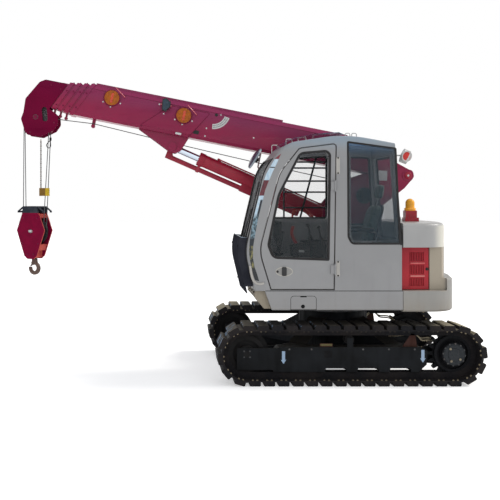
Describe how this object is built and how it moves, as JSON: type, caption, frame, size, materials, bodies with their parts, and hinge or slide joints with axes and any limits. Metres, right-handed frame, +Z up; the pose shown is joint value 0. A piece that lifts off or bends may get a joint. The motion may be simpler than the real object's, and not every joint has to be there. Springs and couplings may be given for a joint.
{
  "type": "crawler crane",
  "caption": "Compact crawler crane with a closed cab, a telescopic boom on a rear mast, one lift cylinder, and a hook block hung on rope falls over two rubber-padded tracks.",
  "frame": {"origin": "on the ground, under the axis on which the upper works turn", "axes": "+X forward, where the boom points at rest, +Y to the driver's left, +Z up"},
  "size_m": [5.2761, 2.32, 3.4528],
  "materials": {
    "track_steel": "dark shoes and pads with dry mud",
    "undercarriage_black": "satin black paint, dusty",
    "wheel_black": "worn black paint",
    "bearing_steel": "machined, greased",
    "frame_grey": "satin dark grey paint",
    "body_white": "gloss warm white paint",
    "weight_white": "cream white paint over cast iron",
    "boom_red": "deep red gloss paint",
    "vent_red": "red gloss paint",
    "step_beige": "beige paint",
    "engine_grey": "plain casting",
    "pin_steel": "plain steel",
    "chrome_rod": "hard chrome",
    "drum_steel": "dark, greased",
    "tinted_glass": "dark tinted",
    "seat_fabric": "dark grey cloth",
    "console_plastic": "fine grain",
    "guard_black": "moulded, satin",
    "bar_white": "white paint",
    "mirror_shell": "black shell",
    "beacon_amber": "amber lens on a red foot",
    "lamp_white": "white shell, red lens",
    "lamp_amber": "amber lens",
    "wire_rope": "greased wire rope",
    "weight_yellow": "yellow paint",
    "block_red": "red paint, worn",
    "hook_steel": "forged, brown",
    "sheave_grey": "grey, worn grooves"
  },
  "bodies": {
    "undercarriage": {"car_body": "undercarriage_black", "side_frames": "undercarriage_black", "track_left": "track_steel", "track_right": "track_steel", "idlers": "wheel_black", "sprockets": "wheel_black", "track_rollers": "wheel_black", "swing_bearing": "bearing_steel"},
    "superstructure": {"revolving_frame": "frame_grey", "deck_skirts": "body_white", "front_apron": "step_beige", "counterweight": "weight_white", "engine": "engine_grey", "hydraulic_tank": "body_white", "fuel_tank": "body_white", "boom_mast": "boom_red", "mast_pins": "pin_steel", "winch_motor": "frame_grey", "cab_shell": "body_white", "cab_glazing": "tinted_glass", "operator_seat": "seat_fabric", "control_consoles": "console_plastic", "front_guard": "guard_black", "window_guard": "bar_white", "mirror": "mirror_shell", "rear_lamp": "lamp_white"},
    "engine_hood": {"engine_hood": "body_white", "beacon": "beacon_amber"},
    "louvre_door_left": {"louvre_door_left": "vent_red"},
    "louvre_door_right": {"louvre_door_right": "vent_red"},
    "winch_drum": {"winch_drum": "drum_steel"},
    "cab_door": {"cab_door": "body_white", "door_glass": "tinted_glass"},
    "boom_base": {"boom_base": "boom_red", "boom_lamps": "lamp_amber"},
    "boom_section_2": {"boom_section_2": "boom_red"},
    "boom_section_3": {"boom_section_3": "boom_red"},
    "boom_section_4": {"boom_section_4": "boom_red"},
    "boom_section_5": {"boom_section_5": "boom_red", "boom_head": "boom_red", "head_sheaves": "sheave_grey"},
    "hook_falls": {"hoist_falls": "wire_rope", "overhoist_weight": "weight_yellow"},
    "hook_block": {"hook_block": "block_red", "block_sheaves": "sheave_grey"},
    "hook": {"hook": "hook_steel"},
    "lift_barrel": {"lift_barrel": "vent_red"},
    "lift_rod": {"lift_rod": "chrome_rod"}
  },
  "joints": [
    {"name": "slew", "type": "hinge", "parent": "undercarriage", "child": "superstructure", "pos_m": [0, 0, 0.77], "axis": [0, 0, 1], "continuous": true},
    {"name": "winch_drum_spin", "type": "hinge", "parent": "superstructure", "child": "winch_drum", "pos_m": [-0.38, -0.22, 2.05], "axis": [0, 1, 0], "continuous": true},
    {"name": "cab_door_swing", "type": "hinge", "parent": "superstructure", "child": "cab_door", "pos_m": [0.178, 1.12, 1.7], "axis": [0, 0, 1], "range_deg": [0, 165]},
    {"name": "engine_hood_lift", "type": "hinge", "parent": "superstructure", "child": "engine_hood", "pos_m": [-1.17, 0, 1.487], "axis": [0, -1, 0], "range_deg": [0, 60]},
    {"name": "louvre_door_left_swing", "type": "hinge", "parent": "superstructure", "child": "louvre_door_left", "pos_m": [-0.562, 0.995, 1.25], "axis": [0, 0, -1], "range_deg": [0, 85]},
    {"name": "louvre_door_right_swing", "type": "hinge", "parent": "superstructure", "child": "louvre_door_right", "pos_m": [-0.562, -0.995, 1.25], "axis": [0, 0, 1], "range_deg": [0, 85]},
    {"name": "boom_luff", "type": "hinge", "parent": "superstructure", "child": "boom_base", "pos_m": [-0.905, -0.22, 2.289], "axis": [0, -1, 0], "range_deg": [-6, 66]},
    {"name": "telescope_2", "type": "slide", "parent": "boom_base", "child": "boom_section_2", "axis": [0.9808, 0, 0.1949], "range_m": [0, 2.6]},
    {"name": "telescope_3", "type": "slide", "parent": "boom_section_2", "child": "boom_section_3", "axis": [0.9808, 0, 0.1949], "range_m": [0, 2.6]},
    {"name": "telescope_4", "type": "slide", "parent": "boom_section_3", "child": "boom_section_4", "axis": [0.9808, 0, 0.1949], "range_m": [0, 2.6]},
    {"name": "telescope_5", "type": "slide", "parent": "boom_section_4", "child": "boom_section_5", "axis": [0.9808, 0, 0.1949], "range_m": [0, 2.6]},
    {"name": "hook_swing", "type": "hinge", "parent": "boom_section_5", "child": "hook_falls", "pos_m": [3.57536, -0.22, 2.99994], "axis": [0, 1, 0], "range_deg": [-6, 66]},
    {"name": "hook_hoist", "type": "slide", "parent": "hook_falls", "child": "hook_block", "axis": [0, 0, 1], "range_m": [-0.5, 0.1], "deforming": ["hoist_falls"]},
    {"name": "hook_swivel", "type": "hinge", "parent": "hook_block", "child": "hook", "pos_m": [3.605, -0.22, 1.3], "axis": [0, 0, 1], "continuous": true},
    {"name": "lift_barrel_pivot", "type": "hinge", "parent": "superstructure", "child": "lift_barrel", "pos_m": [0, -0.22, 1.8], "axis": [0, -1, 0], "range_deg": [-6.38, 69.14]},
    {"name": "lift_rod_slide", "type": "slide", "parent": "lift_barrel", "child": "lift_rod", "axis": [0.9157, 0, 0.4018], "range_m": [-0.0994, 1.0733]}
  ],
  "couplings": [
    {"joint": "telescope_3", "follows": "telescope_2", "ratio": 1},
    {"joint": "telescope_4", "follows": "telescope_2", "ratio": 1},
    {"joint": "telescope_5", "follows": "telescope_2", "ratio": 1},
    {"joint": "hook_swing", "follows": "boom_luff", "ratio": 1},
    {"joint": "lift_barrel_pivot", "follows": "boom_luff", "ratio": 1.046},
    {"joint": "lift_rod_slide", "follows": "boom_luff", "m_per_rad": 0.93}
  ]
}
